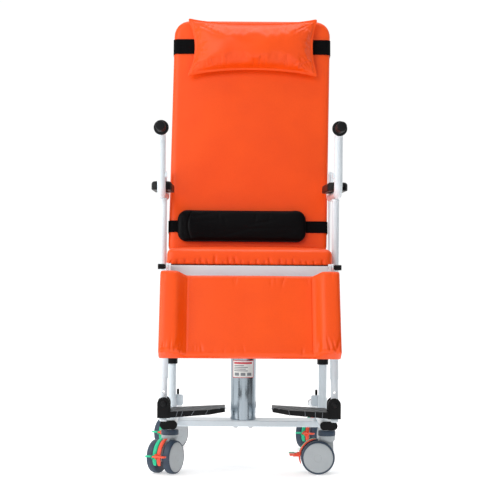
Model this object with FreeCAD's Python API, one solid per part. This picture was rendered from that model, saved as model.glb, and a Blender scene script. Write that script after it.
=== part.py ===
"""Hydraulic transfer chair that lies flat as a stretcher trolley.

Millimetres. +Z is up, the occupant faces -Y, +X is to the right as seen from the front.
The origin is on the floor under the middle of the chair.
"""
import FreeCAD, Part
import math
import os

V = FreeCAD.Vector

# ---- driving dimensions ----
RAIL_X = 237.0                 # centre of each base rail, guide post and seat side rail
RAIL_FRONT, RAIL_REAR = -285.0, 410.0
RAIL_WIDE, RAIL_HIGH, RAIL_WALL = 50.0, 24.0, 2.0
RAIL_LOW = 134.0               # underside of the rails, on top of the crossbar
CROSSBAR_HALF, CROSSBAR_DEEP, CROSSBAR_HIGH = 250.0, 50.0, 19.0
COLUMN_R, BORE_R, COLUMN_TOP = 39.5, 30.0, 520.0
COLUMN_X = -13.0
RAM_R, RAM_TOP = 25.0, 548.0
POST_Y, POST_R, POST_TOP = 25.0, 12.7, 560.0
TUBE_R = 12.5                  # 25 mm frame tube
SLIDE_FIT = 0.05               # radial clearance of sliding and turning fits

STEM_X, STEM_FRONT, STEM_REAR = 234.0, -245.0, 375.0
WHEEL_R, WHEEL_WIDE, WHEEL_GAP, TRAIL = 50.0, 24.0, 14.5, 27.0
HEADINGS = {"front_left": -27.0, "front_right": -90.0, "rear_left": -32.0, "rear_right": -27.0}

SEAT_Z = 600.0                 # centre height of the seat frame tubes
SEAT_HALF, SEAT_FRONT, SEAT_REAR = 249.5, -256.0, 195.0
SEAT_PAD_LOW, SEAT_PAD_TOP = 620.0, 672.0
BACK_HINGE = V(0, 235.0, 635.0)
BACK_LEAN, BACK_HALF, BACK_LOW, BACK_LONG = 8.0, 258.5, 15.0, 793.0
BACK_FACE, BACK_REAR = 36.0, 9.0
LEG_HINGE = V(0, -275.0, 614.0)
LEG_LEAN, LEG_HALF, LEG_TOP, LEG_LONG = 25.0, 263.5, 33.0, 287.0
LEG_FACE, LEG_REAR, BOLSTER_FACE = 25.0, 7.0, 58.0
HINGE_PIN_R = 6.0

ARM_X, ARM_PIVOT = 266.0, V(0, 220.0, 907.5)
ARM_LEVEL, ARM_FRONT, GRIP_LEVEL, GRIP_FRONT = 833.0, -210.0, 1028.0, -345.0
HANGER_X, HANGER_TOP, HANGER_SLANT = 252.0, V(0, -230.0, 587.4), 12.0
STEP_PIN = V(250.0, -310.0, 213.0)
SPRING_X, SPRING_EYE = 100.0, 6.0
BACK_SPRING = (V(SPRING_X, -80.0, 530.0), V(SPRING_X, 270.0, 585.0))
LEG_SPRING = (V(-SPRING_X, 60.0, 545.0), V(-SPRING_X, -263.2, 509.2))


# ---- small makers ----
def block(x0, x1, y0, y1, z0, z1):
    return Part.makeBox(x1 - x0, y1 - y0, z1 - z0, V(x0, y0, z0))


def rod(start, end, radius):
    along = end.sub(start)
    return Part.makeCylinder(radius, along.Length, start, along)


def pipe(start, end, outer, inner):
    return rod(start, end, outer).cut(rod(start, end, inner))


def bent_path(points, bend):
    """Straight runs joined by tangent arcs of one bend radius."""
    edges = []
    last = points[0]
    for before, corner, after in zip(points, points[1:], points[2:]):
        back = before.sub(corner).normalize()
        ahead = after.sub(corner).normalize()
        half = (math.pi - back.getAngle(ahead)) / 2
        reach = bend * math.tan(half)
        start = corner.add(V(back).multiply(reach))
        end = corner.add(V(ahead).multiply(reach))
        inward = back.add(ahead).normalize()
        middle = corner.add(inward.multiply(bend / math.cos(half) - bend))
        edges += [Part.LineSegment(last, start).toShape(), Part.Arc(start, middle, end).toShape()]
        last = end
    edges.append(Part.LineSegment(last, points[-1]).toShape())
    return Part.Wire(edges)


def bent_rod(points, bend, radius):
    path = bent_path(points, bend)
    start = points[0]
    ring = Part.Wire(Part.makeCircle(radius, start, points[1].sub(start)))
    return path.makePipeShell([ring], True, False)


def prism(corners, start, along):
    """A flat outline pushed along a vector; corners are points in the plane of start."""
    face = Part.Face(Part.makePolygon(corners + [corners[0]]))
    face.translate(start)
    return face.extrude(along)


def plate_x(x0, x1, corners):
    """A plate square to X with the given (y, z) corners."""
    return prism([V(x0, y, z) for y, z in corners], V(0, 0, 0), V(x1 - x0, 0, 0))


def link_x(x0, x1, a, b, width):
    """A round-ended link square to X between two (y, z) eyes."""
    along = V(0, b[0] - a[0], b[1] - a[1])
    side = V(0, -along.z, along.y).normalize().multiply(width)
    low, high = V(x0, *a), V(x0, *b)
    bar = prism([low.add(side), high.add(side), high.sub(side), low.sub(side)],
                V(0, 0, 0), V(x1 - x0, 0, 0))
    ends = [Part.makeCylinder(width, x1 - x0, point, V(1, 0, 0)) for point in (low, high)]
    return bar.fuse(ends[0]).fuse(ends[1]).removeSplitter()


def rounded(shape, radius, wanted=None):
    """Fillets the edges for which wanted(edge) holds, or all of them."""
    edges = [edge for edge in shape.Edges if wanted is None or wanted(edge)]
    return shape.makeFillet(radius, edges)


def runs_along(axis):
    def test(edge):
        if not isinstance(edge.Curve, Part.Line):
            return False
        return abs(edge.Curve.Direction.dot(axis)) > 0.999
    return test


def mirrored(shape):
    return shape.mirror(V(0, 0, 0), V(1, 0, 0))


def both_sides(shape):
    return [shape, mirrored(shape)]


def leaned(shape, hinge, degrees):
    """Tips a shape backwards about X at the origin, then carries it to its hinge."""
    moved = shape.copy()
    moved.rotate(V(0, 0, 0), V(1, 0, 0), -degrees)
    moved.translate(hinge)
    return moved


def write(name, *shapes):
    solids = [solid for shape in shapes for solid in shape.Solids]
    shape = solids[0] if len(solids) == 1 else Part.makeCompound(solids)
    shape.exportStep("parts/" + name + ".step")


# ---- base ----
def oval_bar(wide, high, x, low, y0, y1):
    half = high / 2
    flat = wide / 2 - half
    bar = block(x - flat, x + flat, y0, y1, low, low + high)
    for side in (-flat, flat):
        bar = bar.fuse(rod(V(x + side, y0, low + half), V(x + side, y1, low + half), half))
    return bar.removeSplitter()


def make_base():
    rail = oval_bar(RAIL_WIDE, RAIL_HIGH, RAIL_X, RAIL_LOW, RAIL_FRONT, RAIL_REAR)
    bore_size = (RAIL_WIDE - 2 * RAIL_WALL, RAIL_HIGH - 2 * RAIL_WALL, RAIL_X, RAIL_LOW + RAIL_WALL)
    rail = rail.cut(oval_bar(*bore_size, RAIL_FRONT, RAIL_REAR))
    write("base_rails", *both_sides(rail))

    cap_out, spigot, slack = 7.0, 18.0, 0.3
    caps = []
    for end, out in ((RAIL_FRONT, -1), (RAIL_REAR, 1)):
        face = sorted((end, end + out * cap_out))
        plug = sorted((end, end - out * spigot))
        head = oval_bar(RAIL_WIDE + 2, RAIL_HIGH + 2, RAIL_X, RAIL_LOW - 1, *face)
        stem = oval_bar(bore_size[0] - slack, bore_size[1] - slack, RAIL_X,
                        bore_size[3] + slack / 2, *plug)
        caps += both_sides(head.fuse(stem).removeSplitter())
    write("rail_end_caps", *caps)

    deep = CROSSBAR_DEEP
    bar = block(-CROSSBAR_HALF, CROSSBAR_HALF, -deep, deep, RAIL_LOW - CROSSBAR_HIGH, RAIL_LOW)
    bar = rounded(bar, 4.0, runs_along(V(1, 0, 0)))
    bolts = []
    bolt_r, head_r, head_high, ring = 4.0, 7.0, 5.0, 33.0
    for turn in range(4):
        angle = math.radians(45 + 90 * turn)
        x, y = COLUMN_X + ring * math.cos(angle), ring * math.sin(angle)
        low = RAIL_LOW - CROSSBAR_HIGH
        shank = rod(V(x, y, low), V(x, y, RAIL_LOW + 9), bolt_r)
        head = rod(V(x, y, low - head_high), V(x, y, low), head_r)
        bolts.append(head.fuse(shank).removeSplitter())
        bar = bar.cut(rod(V(x, y, low), V(x, y, RAIL_LOW), bolt_r + SLIDE_FIT))
    write("base_crossbar", bar)
    write("column_bolts", *bolts)

    column = rod(V(COLUMN_X, 0, RAIL_LOW), V(COLUMN_X, 0, COLUMN_TOP), COLUMN_R)
    column = column.cut(rod(V(COLUMN_X, 0, RAIL_LOW + 12), V(COLUMN_X, 0, COLUMN_TOP), BORE_R))
    for turn in range(4):
        angle = math.radians(45 + 90 * turn)
        x, y = COLUMN_X + ring * math.cos(angle), ring * math.sin(angle)
        column = column.cut(rod(V(x, y, RAIL_LOW), V(x, y, RAIL_LOW + 10), bolt_r + SLIDE_FIT))
    write("column_cylinder", column)
    gland_high = 12.0
    gland = pipe(V(COLUMN_X, 0, COLUMN_TOP), V(COLUMN_X, 0, COLUMN_TOP + gland_high),
                 COLUMN_R - 1.5, RAM_R + SLIDE_FIT)
    write("column_gland", rounded(gland, 2.0, lambda edge: edge.BoundBox.ZMin > COLUMN_TOP + 1
                                  and edge.BoundBox.XLength > 70))

    rail_top = RAIL_LOW + RAIL_HIGH
    post = pipe(V(RAIL_X, POST_Y, rail_top), V(RAIL_X, POST_Y, POST_TOP), POST_R, POST_R - 1.6)
    write("guide_posts", *both_sides(post))
    socket = pipe(V(RAIL_X, POST_Y, rail_top), V(RAIL_X, POST_Y, rail_top + 40), 15.0,
                  POST_R + SLIDE_FIT)
    knob_x, knob_y, knob_low, pin_low, pin_r = 218.25, 42.0, 206.5, 180.0, 2.5
    bracket = block(202, 225, 38, 46, 172, 206).fuse(block(222, RAIL_X, 38.5, 46, 162, 195))
    bracket = rounded(bracket, 7.0, lambda edge: edge.BoundBox.XMax < 203 and edge.BoundBox.YLength > 5)
    bracket = bracket.cut(rod(V(knob_x, knob_y, pin_low), V(knob_x, knob_y, 210), pin_r + SLIDE_FIT))
    socket = socket.fuse(bracket.cut(rod(V(RAIL_X, POST_Y, 100), V(RAIL_X, POST_Y, 300), 14.0)))
    write("post_sockets", *both_sides(socket.removeSplitter()))

    pin = rod(V(knob_x, knob_y, pin_low + 0.5), V(knob_x, knob_y, knob_low + 3), pin_r)
    wing = rounded(block(knob_x - 3.75, knob_x + 3.75, knob_y - 7, knob_y + 7, knob_low, 224), 3.0)
    knob = pin.fuse(wing).removeSplitter()
    write("clamp_knob_right", knob)
    write("clamp_knob_left", mirrored(knob))


def make_pump():
    body = block(-34, 34, 41, 96, RAIL_LOW, 186)
    body = body.cut(rod(V(COLUMN_X, 0, 100), V(COLUMN_X, 0, 300), COLUMN_R + 0.3))
    body = rounded(body, 3.0, runs_along(V(0, 1, 0)))
    yoke_y, yoke_z, pin_r = 108.0, 170.0, 4.0
    for x in (-34, -3, 28):
        body = body.fuse(link_x(x, x + 6, (92, yoke_z), (yoke_y, yoke_z), 9.0))
    body = body.fuse(rod(V(-34, yoke_y, yoke_z), V(34, yoke_y, yoke_z), pin_r))
    write("pump_block", body.removeSplitter())
    hole = rod(V(-40, yoke_y, yoke_z), V(40, yoke_y, yoke_z), pin_r + SLIDE_FIT)

    def pedal(x0, x1, reach, pad_long, half):
        arm = link_x(x0, x1, (yoke_y, yoke_z), (yoke_y + 20, yoke_z + 6), 8.0)
        arm = arm.fuse(link_x(x0, x1, (yoke_y + 20, yoke_z + 6), (reach, yoke_z + 14), 8.0))
        middle = (x0 + x1) / 2 if half < 20 else 0
        pad = block(middle - half, middle + half, reach - 12, reach - 12 + pad_long, 183, 196)
        pad = rounded(pad, 4.0)
        return arm.cut(hole).fuse(pad).removeSplitter()

    write("pump_pedal", pedal(5, 26, 345, 62, 32))
    write("release_pedal", pedal(-26, -5, 200, 40, 15))


# ---- casters: built with the stem on the origin and the wheels trailing towards -Y ----
def make_caster(name, x, y, heading):
    axle = V(0, -TRAIL, WHEEL_R)
    web_half, web_r, pedal_z = 13.5, 46.0, 58.5
    pin_r, rocker_r, axle_r = 2.5, 6.0, 6.0

    def across(x0, x1, radius):
        return rod(V(x0, axle.y, axle.z), V(x1, axle.y, axle.z), radius)

    ring = rounded(rod(V(0, 0, 112.5), V(0, 0, 128), 26.0), 3.0)
    neck = rod(V(0, 0, 128), V(0, 0, RAIL_LOW - 0.1), 11.0)
    body = rod(V(0, 0, 101), V(0, 0, 112.5), 25.0)
    web = across(-web_half, web_half, web_r).common(block(-20, 20, -90, 30, 38, 101))
    body = body.fuse(web).fuse(block(-web_half, web_half, -26, 20, 60, 102))
    body = body.fuse(across(-34.4, 34.4, axle_r))
    body = body.fuse(rod(V(0, -68, pedal_z), V(0, -92, pedal_z), pin_r)).removeSplitter()

    wheels = []
    outer, shelf = WHEEL_GAP + WHEEL_WIDE, 4.0
    tyre = rounded(across(WHEEL_GAP, outer, WHEEL_R), 5.0)
    tyre = tyre.cut(across(outer - shelf, outer, 44.2)).cut(across(0, outer, axle_r + SLIDE_FIT))
    disc = rounded(across(outer - shelf + 0.1, outer + 1.5, 44.0), 1.2)
    wheels = both_sides(tyre) + both_sides(disc)

    strip = across(1.5, 10.5, 56.0).cut(across(1.5, 10.5, 51.0))
    fan = [(axle.y, axle.z)]
    fan += [(axle.y - 90 * math.cos(math.radians(a)), axle.z + 90 * math.sin(math.radians(a)))
            for a in (-20, 15, 50, 85)]
    strip = strip.common(plate_x(0, 20, fan))
    strip = strip.fuse(block(1.5, 10.5, -101, -77, 56, 61))
    tabs = [block(x0, x1, -114, -98, 56, 61) for x0, x1 in ((1.5, 42), (-22, -1.5))]
    hub = rod(V(0, -76, pedal_z), V(0, -90, pedal_z), rocker_r)
    rocker = hub.fuse(strip.fuse(tabs[0])).fuse(mirrored(strip).fuse(tabs[1]))
    rocker = rocker.cut(rod(V(0, -70, pedal_z), V(0, -95, pedal_z), pin_r + SLIDE_FIT))
    for suffix, solids in (("housing", [ring, neck, body]), ("wheels", wheels),
                           ("pedals", [rocker.removeSplitter()])):
        for solid in solids:
            solid.rotate(V(0, 0, 0), V(0, 0, 1), heading)
            solid.translate(V(x, y, 0))
        write("caster_" + name + "_" + suffix, *solids)


# ---- seat ----
def spring_post(pivot, cross_y):
    """Plate hanging from a cross tube beside a gas spring eye, with the eye's pin."""
    side = 1 if pivot.x > 0 else -1
    near, far = pivot.x + side * 6.5, pivot.x + side * 11.5
    x0, x1 = sorted((near, far))
    plate = link_x(x0, x1, (pivot.y, pivot.z), (cross_y, SEAT_Z - 14), 11.0)
    pin = rod(V(pivot.x - side * SPRING_EYE, pivot.y, pivot.z), V(near, pivot.y, pivot.z), 4.0)
    return plate.fuse(pin)


def make_seat():
    cross_y = (-235.0, -70.0, 70.0)
    side = rod(V(RAIL_X, -245, SEAT_Z), V(RAIL_X, 225, SEAT_Z), TUBE_R)
    sleeve_low, sleeve_r = 323.0, 16.0
    post_room = rod(V(RAIL_X, POST_Y, 0), V(RAIL_X, POST_Y, SEAT_Z), POST_R + 0.8)
    sleeve = rod(V(RAIL_X, POST_Y, sleeve_low), V(RAIL_X, POST_Y, SEAT_Z - 5), sleeve_r)
    sleeve = sleeve.cut(side).cut(rod(V(RAIL_X, POST_Y, sleeve_low),
                                      V(RAIL_X, POST_Y, POST_TOP + 12), POST_R + 0.8))
    hinge_ear = link_x(225, 231, (220, SEAT_Z), (BACK_HINGE.y, BACK_HINGE.z), 13.0).cut(side)
    hinge_pin = rod(V(217.7, BACK_HINGE.y, BACK_HINGE.z), V(225, BACK_HINGE.y, BACK_HINGE.z),
                    HINGE_PIN_R)
    hinge_ear = hinge_ear.fuse(hinge_pin)
    leg_ear = link_x(242, 248, (-238, SEAT_Z), (LEG_HINGE.y, LEG_HINGE.z), 11.0).cut(side)
    arm_y, arm_z = ARM_PIVOT.y, ARM_PIVOT.z
    upright = plate_x(264, 270, [(207, 594), (233, 594), (233, arm_z - 20), (207, arm_z - 20)])
    upright = upright.fuse(link_x(264, 270, (arm_y, arm_z - 20), (arm_y, arm_z), 13.0))
    upright = upright.fuse(block(249.0, 265, 207, 224, 594, 606)).cut(side)
    arm_pin = rod(V(270, arm_y, arm_z), V(276.4, arm_y, arm_z), 5.0)
    pin_head = rod(V(276.4, arm_y, arm_z), V(279, arm_y, arm_z), 9.0)
    upright = upright.fuse(arm_pin).fuse(pin_head).removeSplitter()
    solids = []
    for piece in (side, sleeve, hinge_ear, leg_ear, upright):
        solids += both_sides(piece)
    reach = RAIL_X - 0.5
    rails = side.fuse(mirrored(side))
    for y in cross_y:
        solids.append(rod(V(-reach, y, SEAT_Z), V(reach, y, SEAT_Z), TUBE_R).cut(rails))
    crossings = [solid for solid in solids[-3:]]
    for pivot, y in ((BACK_SPRING[0], -70.0), (LEG_SPRING[0], 70.0)):
        hanger = spring_post(pivot, y)
        for tube in crossings:
            hanger = hanger.cut(tube)
        solids.append(hanger)
    write("seat_frame", *solids)

    bushing = pipe(V(RAIL_X, POST_Y, sleeve_low - 18), V(RAIL_X, POST_Y, sleeve_low), 17.5,
                   POST_R + SLIDE_FIT)
    write("sleeve_bushings", *both_sides(bushing))
    panel = rounded(block(-241, 241, SEAT_FRONT, SEAT_FRONT + 6, 575, 618), 2.0,
                    runs_along(V(1, 0, 0)))
    write("seat_front_panel", panel)
    write("seat_board", block(-240, 240, -248, 190, SEAT_Z + TUBE_R, SEAT_PAD_LOW))
    pad = block(-SEAT_HALF, SEAT_HALF, SEAT_FRONT, SEAT_REAR, SEAT_PAD_LOW + 0.1, SEAT_PAD_TOP)
    write("seat_pad", rounded(pad, 14.0, lambda edge: edge.BoundBox.ZMin > SEAT_PAD_LOW + 1))

    ram = rod(V(COLUMN_X, 0, 175), V(COLUMN_X, 0, RAM_TOP), RAM_R)
    piston = rod(V(COLUMN_X, 0, 160), V(COLUMN_X, 0, 175), BORE_R - SLIDE_FIT)
    write("ram", ram.fuse(piston).removeSplitter())
    head = rod(V(COLUMN_X, 0, RAM_TOP), V(COLUMN_X, 0, 578), 35.0)
    plate = block(COLUMN_X - 60, COLUMN_X + 60, -85, 85, 578, SEAT_Z - TUBE_R)
    head = head.fuse(plate).removeSplitter()
    write("ram_head", head)

    pins = []
    for x0, x1, radius in ((233, 242, HINGE_PIN_R), (248, 252, HINGE_PIN_R), (252, 272, 8.0)):
        piece = rod(V(x0, LEG_HINGE.y, LEG_HINGE.z), V(x1, LEG_HINGE.y, LEG_HINGE.z), radius)
        pins += both_sides(piece)
    write("leg_hinge_pins", *pins)

    post_x, post_y, cap_low = 261.5, -155.0, 812.0
    post = rod(V(post_x, post_y, 575), V(post_x, post_y, cap_low), 11.0)
    tab = block(249.5, 256, post_y - 10, post_y + 10, 590, 610)
    cap = rounded(rod(V(post_x, post_y, cap_low), V(post_x, post_y, 820), 11.5), 1.5)
    write("arm_front_posts", *both_sides(post.fuse(tab).removeSplitter()), *both_sides(cap))


# ---- footrest: slanted hangers, sliding inner tubes and fold-up footplates ----
def down_hanger(z, x=HANGER_X):
    """Point of the slanted hanger's centre line at height z."""
    drop = HANGER_TOP.z - z
    return V(x, HANGER_TOP.y - drop * math.tan(math.radians(HANGER_SLANT)), z)


def make_footrest():
    outer_low, inner_r = 285.0, 11.0
    tube = pipe(down_hanger(HANGER_TOP.z + 20), down_hanger(outer_low), TUBE_R, inner_r + SLIDE_FIT)
    tube = tube.common(block(200, 300, -400, -100, 0, HANGER_TOP.z))
    saddle = block(232, 266, -247, -212, HANGER_TOP.z - 6, HANGER_TOP.z)
    saddle = saddle.cut(rod(down_hanger(700), down_hanger(500), inner_r + SLIDE_FIT))
    write("footrest_hangers", *both_sides(tube.fuse(saddle).removeSplitter()))

    pin_r, lug_half, lug_gap, lug_thick = 4.0, 19.0, 21.5, 7.5
    pin_y = STEP_PIN.y
    leg = rod(down_hanger(450), down_hanger(168), inner_r)
    leg = leg.cut(rod(V(HANGER_X, -400, 246), V(HANGER_X, -200, 246), 4.0))
    pin = rod(V(STEP_PIN.x, pin_y - 30, STEP_PIN.z), V(STEP_PIN.x, pin_y + 30, STEP_PIN.z), pin_r)
    plug = rounded(rod(down_hanger(168), down_hanger(160), inner_r), 2.0)
    right = [leg.fuse(pin).removeSplitter(), plug]
    write("footrest_tube_right", *right)
    write("footrest_tube_left", *[mirrored(solid) for solid in right])

    outer, inner, low, rise = 231.0, 70.0, 175.0, 8.5
    front, rear, corner = -365.0, -230.0, 45.0
    side_view = [(outer, low), (outer, low + 18), (inner, low + 18 + rise), (inner, low + 5 + rise)]
    tread = prism([V(x, front, z) for x, z in side_view], V(0, 0, 0), V(0, rear - front, 0))
    outline = [(outer + 5, front), (inner + corner, front), (inner, front + corner), (inner, rear),
               (outer + 5, rear)]
    keep = prism([V(x, y, 100) for x, y in outline], V(0, 0, 0), V(0, 0, 150))
    step = tread.common(keep)
    for y0 in (pin_y - lug_gap - lug_thick, pin_y + lug_gap):
        lug = block(STEP_PIN.x - lug_half, STEP_PIN.x + lug_half, y0, y0 + lug_thick, 171, 213)
        top = rod(V(STEP_PIN.x, y0, STEP_PIN.z), V(STEP_PIN.x, y0 + lug_thick, STEP_PIN.z), lug_half)
        step = step.fuse(lug.fuse(top))
        step = step.cut(rod(V(STEP_PIN.x, y0, STEP_PIN.z), V(STEP_PIN.x, y0 + lug_thick, STEP_PIN.z),
                            pin_r + SLIDE_FIT))
    write("footplate_right", step.removeSplitter())
    write("footplate_left", mirrored(step.removeSplitter()))


# ---- leg rest: built hanging straight down from its hinge, then leaned forwards ----
def make_leg_rest():
    tube_r, tube_y, tube_x, tube_top, tube_low = 9.0, 22.0, 200.0, -58.0, -270.0
    sides = [rod(V(x, tube_y, tube_top), V(x, tube_y, tube_low), tube_r) for x in (-tube_x, tube_x)]
    frame = []
    for z in (tube_top, tube_low):
        reach = 241.0 if z == tube_top else tube_x
        frame.append(rod(V(-reach, tube_y, z), V(reach, tube_y, z), tube_r))
    frame += [side.cut(frame[0]).cut(frame[1]) for side in sides]
    lug = link_x(233, 241, (0, 0), (tube_y - 3, tube_top), 10.0)
    lug = lug.cut(rod(V(230, 0, 0), V(245, 0, 0), HINGE_PIN_R + SLIDE_FIT)).cut(frame[0])
    board = block(-240, 240, LEG_REAR, LEG_REAR + 6, -LEG_LONG + 3, -LEG_TOP - 3)
    lug = lug.cut(block(230, 245, -60, LEG_REAR + 6, -100, -LEG_TOP + 1))
    frame += both_sides(lug)
    eye_x = LEG_SPRING[1].x
    eye = link_x(eye_x - 11.5, eye_x - 6.5, (55, -90), (tube_y + 6, -80), 10.0)
    bridge = block(eye_x - 11.5, eye_x - 6.5, LEG_REAR + 6, 40, -95, -70)
    frame += [board, eye.fuse(bridge).removeSplitter()]
    write("leg_frame", *[leaned(solid, LEG_HINGE, LEG_LEAN) for solid in frame])

    base_wide, face_in, face_out = 78.0, 50.0, 2.0
    half, face = LEG_HALF, LEG_FACE
    outline = [(-half, -LEG_REAR + 0.1), (half, -LEG_REAR + 0.1), (half - face_out, BOLSTER_FACE),
               (half - face_in, BOLSTER_FACE), (half - base_wide, face), (base_wide - half, face),
               (face_in - half, BOLSTER_FACE), (face_out - half, BOLSTER_FACE)]
    pad = prism([V(x, -n, -LEG_LONG) for x, n in outline], V(0, 0, 0), V(0, 0, LEG_LONG - LEG_TOP))
    pad = rounded(pad, 6.0, lambda edge: edge.BoundBox.YMax < LEG_REAR - 1)
    write("leg_pad", leaned(pad, LEG_HINGE, LEG_LEAN))


# ---- backrest: built standing straight up from its hinge, then leaned backwards ----
def upholstery_strap(middle, width, thick):
    """A flat belt right round the pad, the board and the frame tubes."""
    out, front, rear = BACK_HALF + 0.4, -BACK_FACE - 0.2, 41.0
    belt = block(-out - thick, out + thick, front - thick, rear + thick, middle - width / 2,
                 middle + width / 2)
    return belt.cut(block(-out, out, front, rear, middle - width, middle + width))


def make_backrest():
    tube_y, tube_x, low, high = 27.5, 205.0, 15.0, 770.0
    crosses = [rod(V(-tube_x, tube_y, z), V(tube_x, tube_y, z), TUBE_R) for z in (30, 330, high)]
    frame = []
    for x in (-tube_x, tube_x):
        upright = rod(V(x, tube_y, low), V(x, tube_y, high), TUBE_R)
        for cross in crosses:
            upright = upright.cut(cross)
        frame.append(upright)
    ear = link_x(218, 224, (0, 0), (tube_y, 32), 12.0)
    ear = ear.cut(rod(V(200, 0, 0), V(240, 0, 0), HINGE_PIN_R + SLIDE_FIT))
    ear = ear.cut(block(200, 240, -BACK_REAR - 20, BACK_REAR + 6, 14, 60))
    tab = block(217.0, 218.0, tube_y - 6, tube_y + 6, 20, 40)
    frame += crosses + both_sides(ear.fuse(tab.cut(frame[1])).removeSplitter())
    board = block(-245, 245, BACK_REAR, BACK_REAR + 6, 14, BACK_LONG - 10)
    to_local = BACK_SPRING[1].sub(BACK_HINGE)
    lean = math.radians(BACK_LEAN)
    eye_y = to_local.y * math.cos(lean) - to_local.z * math.sin(lean)
    eye_z = to_local.y * math.sin(lean) + to_local.z * math.cos(lean)
    eye = link_x(SPRING_X + 6.5, SPRING_X + 11.5, (eye_y, eye_z), (tube_y, 20), 10.0)
    frame.append(eye.cut(crosses[0]).cut(board))
    write("back_frame", *[leaned(solid, BACK_HINGE, BACK_LEAN) for solid in frame])
    write("back_board", leaned(board, BACK_HINGE, BACK_LEAN))

    pad = block(-BACK_HALF, BACK_HALF, -BACK_FACE, BACK_REAR - 0.1, BACK_LOW, BACK_LONG)
    pad = rounded(pad, 50.0, lambda edge: runs_along(V(0, 1, 0))(edge)
                  and edge.BoundBox.ZMin > BACK_LONG - 1)
    pad = rounded(pad, 8.0, lambda edge: edge.BoundBox.YMax < -BACK_FACE + 1)
    write("back_pad", leaned(pad, BACK_HINGE, BACK_LEAN))

    belt_thick = 1.5
    clear = BACK_FACE + 0.2 + belt_thick + 0.3
    pillow = rounded(block(-198, 226, -clear - 82, -clear, 597, 790), 30.0)
    write("pillow", leaned(pillow, BACK_HINGE, BACK_LEAN))
    write("pillow_strap", leaned(upholstery_strap(702, 50, belt_thick), BACK_HINGE, BACK_LEAN))
    waist = block(-231, 193, -clear - 25, -clear, 45, 154)
    waist = rounded(waist, 34.0, runs_along(V(0, 1, 0)))
    waist = rounded(waist, 6.0, lambda edge: edge.BoundBox.YMax < -clear - 24)
    write("waist_pad", leaned(waist, BACK_HINGE, BACK_LEAN))
    write("waist_strap", leaned(upholstery_strap(99.5, 38.5, belt_thick), BACK_HINGE, BACK_LEAN))

    bar_z, bar_x, bar_rear = 1035.0, 205.0, 428.0
    corners = [V(bar_x, 322, bar_z - 10), V(bar_x, bar_rear, bar_z), V(-bar_x, bar_rear, bar_z),
               V(-bar_x, 322, bar_z - 10)]
    bar = bent_rod(corners, 45.0, TUBE_R)
    for solid in frame[:2]:
        bar = bar.cut(leaned(solid, BACK_HINGE, BACK_LEAN))
    bar = max(bar.Solids, key=lambda solid: solid.Volume)
    grip_in, grip_out = 55.0, 150.0
    write("push_bar", bar)
    grip = pipe(V(grip_in, bar_rear, bar_z), V(grip_out, bar_rear, bar_z), 16.0, TUBE_R + 0.05)
    write("push_grips", *both_sides(grip))


# ---- gas springs ----
def make_spring(name, pivot, end, body_long, inside):
    along = V(end.sub(pivot)).normalize()

    def at(distance):
        return pivot.add(V(along).multiply(distance))

    def eye(centre):
        half = SPRING_EYE - 0.2
        return rod(V(centre.x - half, centre.y, centre.z), V(centre.x + half, centre.y, centre.z), 9.0)

    rod_r = 5.0
    body = rod(at(26), at(body_long), 11.0).fuse(rod(at(6), at(26), 5.0)).fuse(eye(pivot))
    body = body.cut(rod(at(32), at(body_long), rod_r + SLIDE_FIT))
    body = body.cut(rod(V(pivot.x - 20, pivot.y, pivot.z), V(pivot.x + 20, pivot.y, pivot.z),
                        4 + SLIDE_FIT))
    write(name + "_spring_cylinder", body.removeSplitter())
    reach = end.sub(pivot).Length
    write(name + "_spring_rod", rod(at(body_long - inside), at(reach), rod_r).fuse(eye(end))
          .removeSplitter())


# ---- arms: flip up about a pin behind the elbow ----
def make_arm():
    pivot = V(ARM_X, ARM_PIVOT.y, ARM_PIVOT.z)
    shoulder = V(ARM_X, 160, ARM_LEVEL)
    start = pivot.add(V(shoulder.sub(pivot)).normalize().multiply(16.0))
    points = [start, shoulder, V(ARM_X, ARM_FRONT, ARM_LEVEL), V(ARM_X, ARM_FRONT, GRIP_LEVEL),
              V(ARM_X, GRIP_FRONT + 6, GRIP_LEVEL)]
    tube = bent_rod(points, 38.0, TUBE_R)
    lug_far = pivot.add(V(shoulder.sub(pivot)).normalize().multiply(56.0))
    lug = link_x(270.4, 276, (pivot.y, pivot.z), (lug_far.y, lug_far.z), 12.0)
    sweep = rod(V(250, pivot.y, pivot.z), V(270.3, pivot.y, pivot.z), 43.0)
    tube = tube.cut(sweep).fuse(lug).cut(rod(V(260, pivot.y, pivot.z), V(280, pivot.y, pivot.z),
                                             5 + SLIDE_FIT))
    stud = rod(V(ARM_X - TUBE_R - 5, ARM_FRONT, 888), V(ARM_X - TUBE_R + 3, ARM_FRONT, 888), 8.0)
    tube = tube.fuse(stud).removeSplitter()
    pad = block(236.5, 298.5, -165, 140, ARM_LEVEL + TUBE_R + 0.1, 871.5)
    pad = rounded(pad, 11.0, lambda edge: edge.BoundBox.ZMin > 850)
    grip_r, flange_r = 15.5, 22.5
    grip = rod(V(ARM_X, GRIP_FRONT, GRIP_LEVEL), V(ARM_X, -254, GRIP_LEVEL), grip_r)
    flange = rod(V(ARM_X, -254, GRIP_LEVEL), V(ARM_X, -249, GRIP_LEVEL), flange_r)
    grip = rounded(grip, 4.0, lambda edge: edge.BoundBox.YMax < GRIP_FRONT + 1).fuse(flange)
    grip = grip.cut(rod(V(ARM_X, GRIP_FRONT + 5.9, GRIP_LEVEL), V(ARM_X, -200, GRIP_LEVEL),
                        TUBE_R + 0.05)).removeSplitter()
    for name, solid in (("tube", tube), ("pad", pad), ("grip", grip)):
        write("arm_" + name + "_right", solid)
        write("arm_" + name + "_left", mirrored(solid))


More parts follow.
